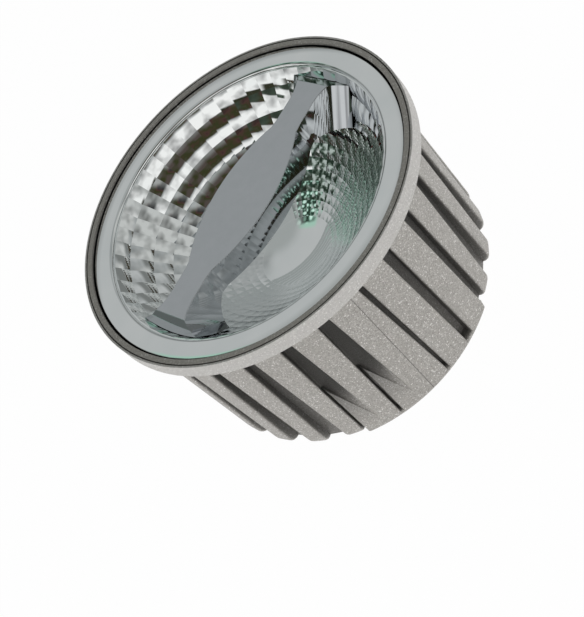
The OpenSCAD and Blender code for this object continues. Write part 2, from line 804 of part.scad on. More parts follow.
// Cup for the driver board, closed at the rear by a disc that lies on the ends of the ribs
module rear_cover() {
    color([0.08, 0.08, 0.085]) difference() {
        rotate_extrude() polygon(concat(
            [[0, 0]],
            arc([cover_r - cover_edge, cover_edge], cover_edge, -90, 0, 5),
            [[cover_r, cover_t], [cup_r, cover_t], [cup_r, lid_z], [cup_inner_r, lid_z],
             [cup_inner_r, board_z], [cup_inner_r - shelf_w, board_z],
             [cup_inner_r - shelf_w, floor_t], [0, floor_t]]
        ));
        translate([0, 0, -cut])
            block(socket_l + 2 * hole_clear, socket_w + 2 * hole_clear, floor_t + 2 * cut);
        at_both_bosses() translate([0, 0, -cut]) {
            cylinder(h = cover_t + 2 * cut, d = screw_d + 2 * hole_clear);
            cylinder(h = head_seat + cut, d = head_d + 2 * hole_clear);
        }
    }
}

module cover_screws() {
    color([0.55, 0.55, 0.54]) at_both_bosses() translate([0, 0, head_seat])
        screw(seat_t + boss_hole_h - blind_end);
}

heat_sink();
reflector();
led_bridge();
bridge_screws();
thermal_pad();
led_board();
led_dam();
led_phosphor();
lead_positive();
lead_negative();
insulating_lid();
driver_board();
bridge_rectifier();
driver_chip();
power_inductor();
input_capacitor();
output_capacitor();
flyback_diode();
sense_resistors();
ceramic_capacitors();
input_socket();
socket_contacts();
rear_cover();
cover_screws();
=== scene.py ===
"""Looks of the round LED module: materials, the pillow-faceted reflector and the studio set."""
import json
import math

import bmesh
import bpy
from mathutils import Matrix, Vector


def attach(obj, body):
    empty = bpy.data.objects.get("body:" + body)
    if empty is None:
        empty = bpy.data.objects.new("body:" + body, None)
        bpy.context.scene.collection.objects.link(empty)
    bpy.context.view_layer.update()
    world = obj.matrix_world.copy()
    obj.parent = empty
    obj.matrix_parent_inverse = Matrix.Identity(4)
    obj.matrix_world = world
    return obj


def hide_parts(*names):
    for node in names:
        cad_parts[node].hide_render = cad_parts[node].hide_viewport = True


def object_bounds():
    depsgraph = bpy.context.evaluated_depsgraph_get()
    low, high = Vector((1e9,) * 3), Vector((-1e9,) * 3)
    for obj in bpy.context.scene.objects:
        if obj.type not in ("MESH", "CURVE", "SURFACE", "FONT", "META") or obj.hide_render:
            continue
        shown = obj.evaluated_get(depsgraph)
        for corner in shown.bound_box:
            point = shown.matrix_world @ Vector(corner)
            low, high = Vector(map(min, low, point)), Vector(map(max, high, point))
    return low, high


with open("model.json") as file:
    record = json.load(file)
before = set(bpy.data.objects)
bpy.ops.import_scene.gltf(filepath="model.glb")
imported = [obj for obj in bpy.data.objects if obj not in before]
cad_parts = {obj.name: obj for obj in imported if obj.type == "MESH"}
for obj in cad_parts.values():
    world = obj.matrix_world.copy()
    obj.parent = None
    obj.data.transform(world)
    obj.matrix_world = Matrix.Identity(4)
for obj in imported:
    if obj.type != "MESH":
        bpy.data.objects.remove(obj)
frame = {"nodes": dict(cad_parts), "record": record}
cad_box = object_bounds()
nodes = frame["nodes"]
scene = bpy.context.scene
MM = 0.001

# Rim and flange, in millimetres, from the box of the loaded solids
RIM_R = round(cad_box[1][0] / MM, 3)
FRONT_Z = round(cad_box[1][2] / MM, 3)
RIM_BACK = FRONT_Z - 2.3
RECESS_R = RIM_R - 1.15
FLANGE_R = RECESS_R - 0.25
FLANGE_FRONT = FRONT_Z - 0.35
FLANGE_BACK = FLANGE_FRONT - 0.8
FLANGE_EDGE = 0.12
LINE_OUTER = RIM_R - 0.28
LINE_INNER = LINE_OUTER - 0.16
LINE_SOFT = 0.03

# Bowl and its facets
LIP_R = 0.6
MOUTH_Z = FLANGE_FRONT - LIP_R
BOWL_R = FLANGE_R - 2.25 - LIP_R
BOWL_DEPTH = 14.0
BOWL_VERTEX = MOUTH_Z - BOWL_DEPTH
BOWL_WALL = 0.6
FOCAL = BOWL_R ** 2 / (4 * BOWL_DEPTH)
SEAM = 0.02
COLUMNS = 56
ROWS = 10
FIRST_ROW = 0.56
FACET_PITCH = 2 * math.pi / COLUMNS
ARCH_R = 9.0
CROSS_R = 14.0
FACET_STEPS = 8
RING_POINTS = COLUMNS * FACET_STEPS
PROFILE_STEPS = 12

# Ribs and gaps of the heat sink
RIB_COUNT = 25
RIB_PITCH = 360 / RIB_COUNT
RIB_REAR_Z = 1.5
RIB_LENGTH = RIM_BACK - RIB_REAR_Z
RIB_FRONT_R = RIM_R - 2.05
RIB_REAR_R = RIB_FRONT_R - 0.47
RIB_CORNER = 2.0
FLOOR_FRONT_R = 21.994
FLOOR_REAR_R = RIB_REAR_R - 1.5
GAP_FRONT_HALF = 0.8
GAP_REAR_HALF = 1.6
GAP_TOP = RIM_BACK - SEAM
SLIT_AZ = 254.7
SLIT_W = 0.4
PARTING_FRONT = -1.2
PARTING_REAR = -1.84

# The two gaps that close towards the rear: shares of the ribs' length, and where their floors rise
CLOSING_AZ = (SLIT_AZ - RIB_PITCH, SLIT_AZ - 2 * RIB_PITCH)
CLOSE_FROM = 0.5
CLOSE_TO = 0.88
CLOSE_FROM_Z = GAP_TOP - CLOSE_FROM * RIB_LENGTH
CLOSE_TO_Z = GAP_TOP - CLOSE_TO * RIB_LENGTH
RISE_FROM_Z = 21.0
RISE_TO_Z = 7.0
RISE_STEP = 0.08

# Roundings of the pieces that stand in for solids, and tolerances for picking their edges
SINK_ROUND = 0.28
SINK_MERGE = 0.03
BRIDGE_ROUND = 0.1
BRIDGE_MERGE = 0.002
BRIDGE_FACE = 0.01
ROUND_STEPS = 3
HAIR = 0.001
NEAR = 0.05
FLAT_ANGLE = math.radians(0.5)
EDGE_ANGLE = math.radians(25)
SHARP_ANGLE = math.radians(35)

# Range of a noise's values that its tones spread over
NOISE_LOW = 0.3
NOISE_HIGH = 0.7


def bowl_height(r):
    """Height of the bowl's surface at a radius."""
    return BOWL_VERTEX + r * r / (4 * FOCAL)


def along_ribs(z, rear, front):
    """Value at a height that runs evenly from the ribs' rear end to the rim."""
    return rear + (front - rear) * (z - RIB_REAR_Z) / RIB_LENGTH


def eased(share):
    """Smooth way from 0 to 1."""
    return share * share * (3 - 2 * share)


class Tree:
    """A material's node tree with short ways to add and link nodes."""

    def __init__(self, name):
        self.material = bpy.data.materials.new(name)
        self.material.use_nodes = True
        self.tree = self.material.node_tree
        self.tree.nodes.clear()
        self.out = self.add("ShaderNodeOutputMaterial")

    def add(self, kind, **values):
        node = self.tree.nodes.new(kind)
        for key, value in values.items():
            setattr(node, key, value)
        return node

    def link(self, a, b):
        self.tree.links.new(a, b)

    def fill(self, socket, value):
        if isinstance(value, bpy.types.NodeSocket):
            self.link(value, socket)
        else:
            socket.default_value = value

    def coords(self):
        return self.add("ShaderNodeTexCoord").outputs["Object"]

    def noise(self, scale, detail=3.0, rough=0.55, vector=None):
        n = self.add("ShaderNodeTexNoise")
        self.link(vector or self.coords(), n.inputs["Vector"])
        n.inputs["Scale"].default_value = scale
        n.inputs["Detail"].default_value = detail
        n.inputs["Roughness"].default_value = rough
        return n.outputs["Fac"]

    def cells(self, scale, vector=None):
        n = self.add("ShaderNodeTexVoronoi", feature="F1")
        self.link(vector or self.coords(), n.inputs["Vector"])
        n.inputs["Scale"].default_value = scale
        return n

    def ramp(self, fac, stops):
        n = self.add("ShaderNodeValToRGB")
        elements = n.color_ramp.elements
        while len(elements) < len(stops):
            elements.new(0.5)
        for element, (at, colour) in zip(elements, stops):
            element.position = at
            element.color = (*colour, 1)
        self.link(fac, n.inputs["Fac"])
        return n.outputs["Color"]

    def math(self, op, a, b=None):
        n = self.add("ShaderNodeMath", operation=op)
        self.fill(n.inputs[0], a)
        if b is not None:
            self.fill(n.inputs[1], b)
        return n.outputs[0]

    def times(self, a, b):
        return self.math("MULTIPLY", a, b)

    def span(self, value, lo, hi, to_lo=0.0, to_hi=1.0, smooth=False):
        """A value's way from lo to hi as a way from to_lo to to_hi, held at both ends."""
        n = self.add("ShaderNodeMapRange")
        n.interpolation_type = "SMOOTHSTEP" if smooth else "LINEAR"
        self.fill(n.inputs["Value"], value)
        for key, v in (("From Min", lo), ("From Max", hi), ("To Min", to_lo), ("To Max", to_hi)):
            n.inputs[key].default_value = v
        return n.outputs["Result"]

    def within(self, value, lo, hi, edge):
        """1 where a value lies between two bounds, with soft edges."""
        rising = self.span(value, lo - edge, lo + edge)
        return self.times(rising, self.span(value, hi - edge, hi + edge, 1.0, 0.0))

    def wander(self, scale, detail, low, high):
        """A value that wanders between two bounds with a noise."""
        return self.span(self.noise(scale, detail), NOISE_LOW, NOISE_HIGH, low, high)

    def tones(self, scale, detail, dark, light):
        """A colour that wanders between two tones with a noise."""
        return self.ramp(self.noise(scale, detail), [(NOISE_LOW, dark), (NOISE_HIGH, light)])

    def mix(self, fac, a, b):
        n = self.add("ShaderNodeMix", data_type="RGBA")
        self.fill(n.inputs["Factor"], fac)
        self.fill(n.inputs["A"], a if isinstance(a, bpy.types.NodeSocket) else (*a, 1))
        self.fill(n.inputs["B"], b if isinstance(b, bpy.types.NodeSocket) else (*b, 1))
        return n.outputs["Result"]

    def bump(self, height, strength, distance):
        n = self.add("ShaderNodeBump")
        n.inputs["Strength"].default_value = strength
        n.inputs["Distance"].default_value = distance
        self.link(height, n.inputs["Height"])
        return n.outputs["Normal"]

    def principled(self, colour, rough, metal, normal, **more):
        n = self.add("ShaderNodeBsdfPrincipled")
        self.link(colour, n.inputs["Base Color"])
        self.link(rough, n.inputs["Roughness"])
        self.link(normal, n.inputs["Normal"])
        n.inputs["Metallic"].default_value = metal
        for key, value in more.items():
            n.inputs[key.replace("_", " ")].default_value = value
        self.link(n.outputs[0], self.out.inputs["Surface"])
        return self.material


def flat_distance(t, x, y):
    """Length of a vector in the plan view."""
    return t.math("SQRT", t.math("ADD", t.times(x, x), t.times(y, y)))


def place(t):
    """Coordinates of a point and its distance from the axis, in millimetres."""
    at = t.add("ShaderNodeVectorMath", operation="SCALE")
    t.link(t.coords(), at.inputs[0])
    at.inputs["Scale"].default_value = 1 / MM
    xyz = t.add("ShaderNodeSeparateXYZ")
    t.link(at.outputs[0], xyz.inputs[0])
    x, y, z = xyz.outputs
    return x, y, z, flat_distance(t, x, y)


def turned(t, x, y, azimuth):
    """Distances of a point across and along a direction in the plan view."""
    a = math.radians(azimuth)
    across = t.math("ADD", t.times(x, -math.sin(a)), t.times(y, math.cos(a)))
    facing = t.math("ADD", t.times(x, math.cos(a)), t.times(y, math.sin(a)))
    return across, facing


# Colours of the casting, painted glints, highlight and shade among them
CAST_DARK = (0.28, 0.265, 0.245)
CAST_LIGHT = (0.65, 0.63, 0.595)
CAST_MEAN = (0.41, 0.39, 0.365)
# Painted glints on the grains
CAST_PAINTED_GLINT = (0.95, 0.94, 0.92)
# Painted highlight on the rim's side
CAST_PAINTED_SHEEN = (0.8, 0.79, 0.77)
# Painted shade on the front band
CAST_BAND_SHADE = (0.36, 0.335, 0.3)
# Painted shade in the gaps
CAST_GAP_SHADE = (0.028, 0.027, 0.025)
CAST_SEAM = (0.05, 0.048, 0.045)
# Painted shade where the closing gaps run out
CAST_CLOSING_SHADE = (0.06, 0.058, 0.054)
# Painted shade in the line and in the seat behind the flange
LINE_SHADE_BLACK = (0.008, 0.008, 0.008)
SEAT_SHADE_BLACK = (0.006, 0.006, 0.006)

# Scales of the casting's patterns, to the metre
GRAIN_SCALE = 7600
FINE_SCALE = 12000
SPECK_SCALE = 5200
CLOUD_SCALE = 520
POLISH_SCALE = 6100

# Where tones of the casting begin and are full, in millimetres
# Painted highlight on the rim's side
PAINTED_SHEEN_R = (RIM_R - 0.25, RIM_R - 0.05)
FACE_Z = (FRONT_Z - 0.14, FRONT_Z - 0.06)
SEAT_R = (RECESS_R + 0.03, RECESS_R + 0.01)
# Painted shade in the gaps, by depth below the ribs' outside
GAP_SHADE_DEPTH = (0.12, 0.5)
SEAM_FACING = (20.5, 21.0)
CLOSING_FACING = (19.0, 20.0)
CLOSING_SIDE = (0.0, 0.3)

# Where painted shade darkens the flange's outer edge, in the same way
EDGE_SHADE_R = (FLANGE_R - 0.06, FLANGE_R - 0.02)
EDGE_SHADE_Z = (MOUTH_Z - 0.6, MOUTH_Z - 0.5)

# How far the casting's tones cover what is under them, painted glints, highlight and shade among them,
# and the gaps' painted shade at the rear and at the rim
CLOUD_COVER = 0.4
PAINTED_GLINT_COVER = 0.75
PAINTED_SHEEN_COVER = 0.75
BAND_SHADE_COVER = 0.75
GAP_SHADE_COVER = (0.56, 0.9)
SEAM_COVER = 0.7
CLOSING_SHADE_COVER = 0.8


def grainy_tone(t, grains):
    """Blasted surface: fine and broad changes of tone, and white specks on the grains as painted glints.
    """
    tone = t.ramp(t.noise(SPECK_SCALE, 3, 0.75), [(0.32, CAST_DARK), (0.68, CAST_LIGHT)])
    tone = t.mix(t.span(t.noise(CLOUD_SCALE, 3), 0.35, 0.7, 0.0, CLOUD_COVER), tone, CAST_MEAN)
    pick = t.add("ShaderNodeSeparateColor")
    t.link(grains.outputs["Color"], pick.inputs["Color"])
    # White specks on the grains are painted glints
    return t.mix(t.span(pick.outputs["Red"], 0.9, 0.98, 0.0, PAINTED_GLINT_COVER), tone, CAST_PAINTED_GLINT)


def front_face(t, z):
    """1 on the rim's front face."""
    return t.span(z, *FACE_Z)


def behind_rim(t, z):
    """1 on the ribs, up to the back of the rim."""
    return t.span(z, RIM_BACK, RIM_BACK - 2 * NEAR)


def rim_tone(t, tone, z, r):
    """The rim's side is lightened as a painted highlight, and its front band inside the line is darkened
    as painted shade.
    """
    sheen_tone = t.mix(0.35, CAST_PAINTED_SHEEN, tone)
    # Painted highlight on the rim's side
    tone = t.mix(t.span(r, *PAINTED_SHEEN_R, 0.0, PAINTED_SHEEN_COVER), tone, sheen_tone)
    band = t.times(front_face(t, z), t.span(r, LINE_OUTER, LINE_INNER))
    # Painted shade on the front band
    return t.mix(t.times(band, BAND_SHADE_COVER), tone, t.mix(0.5, CAST_BAND_SHADE, tone))


def gap_tone(t, tone, z, r):
    """Floors and walls of the gaps are darkened as painted shade, most of all near the rim."""
    under = t.math("MAXIMUM", t.math("SUBTRACT", RIB_REAR_Z + RIB_CORNER, z), 0.0)
    corner = t.math("SUBTRACT", RIB_CORNER ** 2, t.times(under, under))
    corner = t.math("SQRT", t.math("MAXIMUM", corner, 0.0))
    straight = t.span(z, RIB_REAR_Z, RIM_BACK, RIB_REAR_R - RIB_CORNER, RIB_FRONT_R - RIB_CORNER)
    depth = t.math("SUBTRACT", t.math("ADD", straight, corner), r)
    gap = t.times(t.span(depth, *GAP_SHADE_DEPTH), t.span(z, RIM_BACK + NEAR, RIM_BACK - NEAR))
    gap = t.times(gap, t.span(z, RIB_REAR_Z, RIM_BACK, *GAP_SHADE_COVER))
    # Painted shade in the gaps
    return t.mix(gap, tone, CAST_GAP_SHADE)


def line_tone(t, tone, z, r):
    """Painted shade: the seat behind the flange and the line near the rim's edge are painted black."""
    seat = t.times(t.span(r, *SEAT_R), t.within(z, RIM_BACK + 2 * NEAR, FLANGE_FRONT + SEAM, NEAR))
    # Painted shade in the seat
    tone = t.mix(seat, tone, SEAT_SHADE_BLACK)
    line = t.times(front_face(t, z), t.within(r, LINE_INNER, LINE_OUTER, LINE_SOFT))
    # Painted shade in the line
    return t.mix(line, tone, LINE_SHADE_BLACK)


def seam_tone(t, tone, x, y, z):
    """The die's parting line shows on the wide rib beside the slit."""
    across, facing = turned(t, x, y, SLIT_AZ)
    off = t.math("SUBTRACT", across, t.span(z, RIB_REAR_Z, RIM_BACK, PARTING_REAR, PARTING_FRONT))
    seam = t.times(t.within(off, -NEAR, NEAR, NEAR), t.span(facing, *SEAM_FACING))
    return t.mix(t.times(t.times(seam, behind_rim(t, z)), SEAM_COVER), tone, CAST_SEAM)


def closing_tone(t, tone, x, y, z, azimuth):
    """The gaps' painted shade runs out over the metal that closes a gap."""
    across, facing = turned(t, x, y, azimuth)
    half = t.span(z, RIB_REAR_Z, RIM_BACK, GAP_REAR_HALF, GAP_FRONT_HALF)
    inside = t.span(t.math("SUBTRACT", half, t.math("ABSOLUTE", across)), *CLOSING_SIDE)
    inside = t.times(inside, t.span(facing, *CLOSING_FACING))
    fade = t.span(z, RIB_REAR_Z + RIB_CORNER, CLOSE_FROM_Z + SEAM, 0.0, CLOSING_SHADE_COVER)
    fade = t.times(fade, behind_rim(t, z))
    # Painted shade over the closing metal
    return t.mix(t.times(inside, fade), tone, CAST_CLOSING_SHADE)


def cast_metal():
    """Grit-blasted casting: painted glints on its grains, a painted highlight on the rim's side, and
    painted shade in the gaps, on the front band, in the seat and in the line.
    """
    t = Tree("cast_aluminium")
    x, y, z, r = place(t)
    grains = t.cells(GRAIN_SCALE)
    fine = t.cells(FINE_SCALE)
    tone = rim_tone(t, grainy_tone(t, grains), z, r)
    tone = line_tone(t, gap_tone(t, tone, z, r), z, r)
    tone = seam_tone(t, tone, x, y, z)
    for azimuth in CLOSING_AZ:
        tone = closing_tone(t, tone, x, y, z, azimuth)
    height = t.math("ADD", t.times(grains.outputs["Distance"], 0.6), fine.outputs["Distance"])
    rough = t.wander(POLISH_SCALE, 2, 0.38, 0.6)
    return t.principled(tone, rough, 0.8, t.bump(height, 0.6, 0.0001))


def mirror():
    """Metallised mirror with a faint orange-peel; the flange's outer edge is painted black as shade."""
    t = Tree("mirror_coat")
    x, y, z, r = place(t)
    tone = t.tones(160, 2, (0.80, 0.825, 0.825), (0.855, 0.87, 0.868))
    edge_shade = t.times(t.span(r, *EDGE_SHADE_R), t.span(z, *EDGE_SHADE_Z))
    # Painted shade on the flange's outer edge
    tone = t.mix(edge_shade, tone, SEAT_SHADE_BLACK)
    rough = t.wander(2200, 2, 0.025, 0.05)
    return t.principled(tone, rough, 1.0, t.bump(t.noise(900, 2), 0.04, 0.00005))


def bright_plate():
    """Bright plated bridge with hair-fine wiping marks."""
    t = Tree("bright_plate")
    tone = t.tones(700, 3, (0.5, 0.522, 0.54), (0.52, 0.54, 0.56))
    rough = t.wander(1800, 3, 0.03, 0.06)
    return t.principled(tone, rough, 1.0, t.bump(t.noise(180, 2), 0.004, 0.00004))


def moulded(name, colour, rough, grain=0.0, coat=0.0, spread=0.12, scale=900):
    """Moulded or coated piece: slight tone changes and, where wanted, a grained skin."""
    t = Tree(name)
    lo = tuple(c * (1 - spread) for c in colour)
    hi = tuple(min(1.0, c * (1 + spread)) for c in colour)
    tone = t.tones(scale, 3, lo, hi)
    uneven = t.wander(scale * 2.3, 2, rough * 0.85, min(1.0, rough * 1.15))
    normal = t.bump(t.noise(scale * 5, 2), grain, 0.00006)
    return t.principled(tone, uneven, 0.0, normal, Coat_Weight=coat, Coat_Roughness=0.15)


def metal(name, colour, rough, scale=1500):
    """Plain plated metal with fine brushed variation."""
    t = Tree(name)
    lo = tuple(c * 0.85 for c in colour)
    tone = t.tones(scale, 3, lo, colour)
    uneven = t.wander(scale * 2, 3, rough * 0.75, rough * 1.25)
    return t.principled(tone, uneven, 1.0, t.bump(t.noise(scale * 3, 2), 0.1, 0.00004))


# Looks of the plain metals and mouldings
METALS = {
    "screw_steel": {"colour": (0.62, 0.62, 0.6), "rough": 0.32},
    "contact_brass": {"colour": (0.83, 0.64, 0.28), "rough": 0.3},
}
MOULDINGS = {
    "pad_grey": {"colour": (0.45, 0.45, 0.48), "rough": 0.7, "grain": 0.2},
    "mask_white": {"colour": (0.86, 0.86, 0.84), "rough": 0.35, "grain": 0.05, "coat": 0.3,
                   "spread": 0.04},
    "dam_white": {"colour": (0.88, 0.88, 0.86), "rough": 0.45, "grain": 0.05, "spread": 0.04},
    "phosphor": {"colour": (0.62, 0.66, 0.2), "rough": 0.5, "grain": 0.15, "spread": 0.1, "scale": 2500},
    "lead_red": {"colour": (0.16, 0.018, 0.015), "rough": 0.5},
    "lead_black": {"colour": (0.02, 0.02, 0.02), "rough": 0.4},
    "lid_natural": {"colour": (0.7, 0.67, 0.56), "rough": 0.6},
    "board_green": {"colour": (0.015, 0.11, 0.045), "rough": 0.35, "grain": 0.1, "coat": 0.3},
    "package_black": {"colour": (0.02, 0.02, 0.022), "rough": 0.55, "grain": 0.2},
    "ferrite": {"colour": (0.06, 0.06, 0.063), "rough": 0.6, "grain": 0.25},
    "package_yellow": {"colour": (0.6, 0.34, 0.03), "rough": 0.5, "grain": 0.1},
    "chip_tan": {"colour": (0.36, 0.24, 0.14), "rough": 0.45, "grain": 0.1},
    "socket_white": {"colour": (0.8, 0.78, 0.7), "rough": 0.4, "grain": 0.05, "spread": 0.04},
    "black_plastic": {"colour": (0.012, 0.012, 0.013), "rough": 0.5, "grain": 0.35, "spread": 0.2,
                      "scale": 1600},
}
MATERIALS = {"cast_aluminium": cast_metal(), "mirror_coat": mirror(), "bright_plate": bright_plate()}
MATERIALS.update({slot: metal(slot, **look) for slot, look in METALS.items()})
MATERIALS.update({slot: moulded(slot, **look) for slot, look in MOULDINGS.items()})
slot_of = {s["node"]: s["material_slot"] for s in frame["record"]["subparts"]}
for name, obj in nodes.items():
    obj.data.materials.clear()
    obj.data.materials.append(MATERIALS[slot_of[name]])


def put(name, data):
    """Adds an object for a mesh, a camera or a lamp to the scene."""
    obj = bpy.data.objects.new(name, data)
    scene.collection.objects.link(obj)
    return obj


def stand_in(name, mesh, node):
    """Makes a piece of a mesh that takes a node's place, in the node's material."""
    mesh.polygons.foreach_set("use_smooth", [True] * len(mesh.polygons))
    mesh.materials.clear()
    mesh.materials.append(MATERIALS[slot_of[node]])
    piece = put(name, mesh)
    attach(piece, "root")
    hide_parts(node)
    return piece


def clean_copy(name, merge):
    """A node's mesh without the hair-wide steps and triangle edges that its flats carry."""
    bm = bmesh.new()
    bm.from_mesh(nodes[name].data)
    bmesh.ops.remove_doubles(bm, verts=bm.verts, dist=merge * MM)
    bmesh.ops.dissolve_degenerate(bm, edges=bm.edges, dist=HAIR * MM)
    bmesh.ops.dissolve_limit(bm, verts=bm.verts, edges=bm.edges, angle_limit=FLAT_ANGLE)
    return bm


def rounded_piece(bm, edges, radius, name, node):
    """Rounds edges of a copied mesh and puts it in its node's place, with flats that stay flat."""
    bmesh.ops.bevel(bm, geom=edges, offset=radius * MM, offset_type="OFFSET", segments=ROUND_STEPS,
                    profile=0.5, affect="EDGES", clamp_overlap=False)
    bmesh.ops.recalc_face_normals(bm, faces=bm.faces)
    mesh = bpy.data.meshes.new(name)
    bm.to_mesh(mesh)
    bm.free()
    stale = ("custom_normal", "sharp_edge", "sharp_face")
    for layer in [a for a in mesh.attributes if a.name in stale]:
        mesh.attributes.remove(layer)
    piece = stand_in(name, mesh, node)
    mesh.set_sharp_from_angle(angle=SHARP_ANGLE)
    even = piece.modifiers.new("even", "WEIGHTED_NORMAL")
    even.keep_sharp = True


def in_gap(co, azimuth):
    """Place of a point from a gap's middle, in millimetres: across, facing, height and radius."""
    a = math.radians(azimuth)
    p = co / MM
    across = p.y * math.cos(a) - p.x * math.sin(a)
    facing = p.x * math.cos(a) + p.y * math.sin(a)
    return across, facing, p.z, math.hypot(p.x, p.y)


def gap_half(z):
    """Half a gap's width at a height."""
    return along_ribs(z, GAP_REAR_HALF, GAP_FRONT_HALF)


def on_rising_floor(co, azimuth):
    """True on the floor of a closing gap, outside the slit that stays open beside the rib."""
    across, facing, z, r = in_gap(co, azimuth)
    if facing < 0 or not CLOSE_TO_Z - 2 * NEAR < z < RISE_FROM_Z:
        return False
    if abs(r - along_ribs(z, FLOOR_REAR_R, FLOOR_FRONT_R)) > NEAR:
        return False
    slit = SLIT_W if z < CLOSE_FROM_Z - 4 * NEAR else 0.0
    return slit - gap_half(z) - NEAR < across < gap_half(z) + NEAR


def raise_floors(bm):
    """Lets the floors of the closing gaps rise to the ribs' outside instead of ending in a wall."""
    for azimuth in CLOSING_AZ:
        a = math.radians(azimuth)
        outward = Vector((math.cos(a), math.sin(a), 0))
        for v in [v for v in bm.verts if on_rising_floor(v.co, azimuth)]:
            z = v.co.z / MM
            depth = along_ribs(z, RIB_REAR_R, RIB_FRONT_R) - along_ribs(z, FLOOR_REAR_R, FLOOR_FRONT_R)
            share = min(1.0, (RISE_FROM_Z - z) / (RISE_FROM_Z - RISE_TO_Z))
            v.co += outward * (eased(share) * (depth - RISE_STEP) * MM)


def on_closing_edge(co):
    """True on the slanting line where a closing gap ends."""
    first = SLIT_W - gap_half(CLOSE_FROM_Z + SEAM)
    last = gap_half(CLOSE_TO_Z + SEAM)
    for azimuth in CLOSING_AZ:
        across, facing, z, r = in_gap(co, azimuth)
        edge = first + (last - first) * (CLOSE_FROM_Z - z) / (CLOSE_FROM_Z - CLOSE_TO_Z)
        beside = CLOSE_TO_Z - 2 * NEAR < z < CLOSE_FROM_Z + 2 * NEAR
        if facing > 0 and beside and abs(across - edge) < NEAR:
            return True
    return False


def outer_rib_edge(e):
    """True for an outer edge of a rib, apart from those where the closing gaps end."""
    if all(on_closing_edge(v.co) for v in e.verts):
        return False
    if len(e.link_faces) != 2 or not e.is_convex or e.calc_length() < NEAR * MM:
        return False
    if e.calc_face_angle() < EDGE_ANGLE:
        return False
    mid = (e.verts[0].co + e.verts[1].co) / 2 / MM
    outside = math.hypot(mid.x, mid.y) > RIB_REAR_R - RIB_CORNER + 2 * NEAR
    return outside and mid.z < RIM_BACK - NEAR


def rounded_sink():
    """The heat sink with the outer edges of its ribs rounded, as a casting's are."""
    bm = clean_copy("heat_sink", SINK_MERGE)
    raise_floors(bm)
    edges = [e for e in bm.edges if outer_rib_edge(e)]
    rounded_piece(bm, edges, SINK_ROUND, "sink_rounded", "heat_sink")


def rounded_bridge():
    """The bridge with its face's edge rounded."""
    bm = clean_copy("led_bridge", BRIDGE_MERGE)
    top = max(v.co.z for v in bm.verts) - BRIDGE_FACE * MM
    edges = [e for e in bm.edges if all(v.co.z > top for v in e.verts)]
    rounded_piece(bm, edges, BRIDGE_ROUND, "bridge_rounded", "led_bridge")


def row_radii():
    """Radii of the borders between the facet rows, from the mouth down to the dish."""
    mouth = 2 * math.atan(BOWL_R / (2 * FOCAL))
    angles = [mouth] + [mouth - (FIRST_ROW + i) * FACET_PITCH for i in range(ROWS + 1)]
    return [2 * FOCAL * math.tan(a / 2) for a in angles]


def bowl_point(column, r):
    """Corner of a facet, on the bowl's surface."""
    a = column * FACET_PITCH
    return Vector((r * math.cos(a), r * math.sin(a), bowl_height(r)))


def inward(p):
    """Direction from the bowl's surface at a point towards the inside."""
    r = math.hypot(p.x, p.y)
    slope = r / (2 * FOCAL)
    return Vector((-p.x / r * slope, -p.y / r * slope, 1)).normalized()


def facet_ring(top, low, share, arch):
    """Points round the bowl at a share of a row's height, arched across each facet."""
    width = 2 * (top + (low - top) * share) * math.sin(FACET_PITCH / 2)
    cross = width ** 2 / (8 * CROSS_R)
    ring = []
    for k in range(RING_POINTS):
        column, u = divmod(k, FACET_STEPS)
        u /= FACET_STEPS
        upper = bowl_point(column, top).lerp(bowl_point(column + 1, top), u)
        lower = bowl_point(column, low).lerp(bowl_point(column + 1, low), u)
        p = upper.lerp(lower, share)
        ring.append(tuple(p + inward(p) * (arch + cross * (1 - (2 * u - 1) ** 2))))
    return ring


def facet_rings(radii):
    """Rings of all facet rows, each with a mark that says whether a row begins there."""
    rings = []
    for row, (top, low) in enumerate(zip(radii, radii[1:])):
        kept = FIRST_ROW if row == 0 else 1.0
        length = math.hypot(top - low, bowl_height(top) - bowl_height(low)) / kept
        arch = length ** 2 / (8 * ARCH_R)
        steps = FACET_STEPS + 1 if row == ROWS else FACET_STEPS
        for step in range(steps):
            share = step / FACET_STEPS
            whole = 1 - kept + kept * share
            ring = facet_ring(top, low, share, arch * (1 - (2 * whole - 1) ** 2))
            rings.append((ring, step == 0))
    return rings


def skin_profile():
    """The bowl's back, from the middle to the flange."""
    top = 2 * math.sqrt(FOCAL * (FLANGE_BACK + BOWL_WALL - BOWL_VERTEX))
    radii = [top * i / PROFILE_STEPS for i in range(1, PROFILE_STEPS + 1)]
    return [(r, bowl_height(r) - BOWL_WALL) for r in radii]


def flange_profile():
    """The flange's outer edge and front, then the lip down to the bowl's mouth."""
    soft = FLANGE_EDGE * 0.3
    edge = [(FLANGE_R, FLANGE_BACK), (FLANGE_R, FLANGE_FRONT - FLANGE_EDGE),
            (FLANGE_R - soft, FLANGE_FRONT - soft), (FLANGE_R - FLANGE_EDGE, FLANGE_FRONT)]
    centre = BOWL_R + SEAM + LIP_R
    turns = [math.radians(d) for d in range(90, 181, 10)]
    return edge + [(centre + LIP_R * math.cos(a), MOUTH_Z + LIP_R * math.sin(a)) for a in turns]


def dish_profile(border):
    """The smooth dish, a part of a ball, from the last facet row to the middle."""
    rim = border * math.cos(FACET_PITCH / 2) - SEAM
    height = bowl_height(border) - BOWL_VERTEX
    ball = (rim ** 2 + height ** 2) / (2 * height)
    radii = [rim * i / PROFILE_STEPS for i in range(PROFILE_STEPS, 0, -1)]
    return [(r, BOWL_VERTEX + ball - math.sqrt(ball ** 2 - r ** 2)) for r in radii]


def revolved(profile):
    """Rings of points round the axis for a list of (radius, height)."""
    turns = [2 * math.pi * k / RING_POINTS for k in range(RING_POINTS)]
    return [[(r * math.cos(a), r * math.sin(a), z) for a in turns] for r, z in profile]


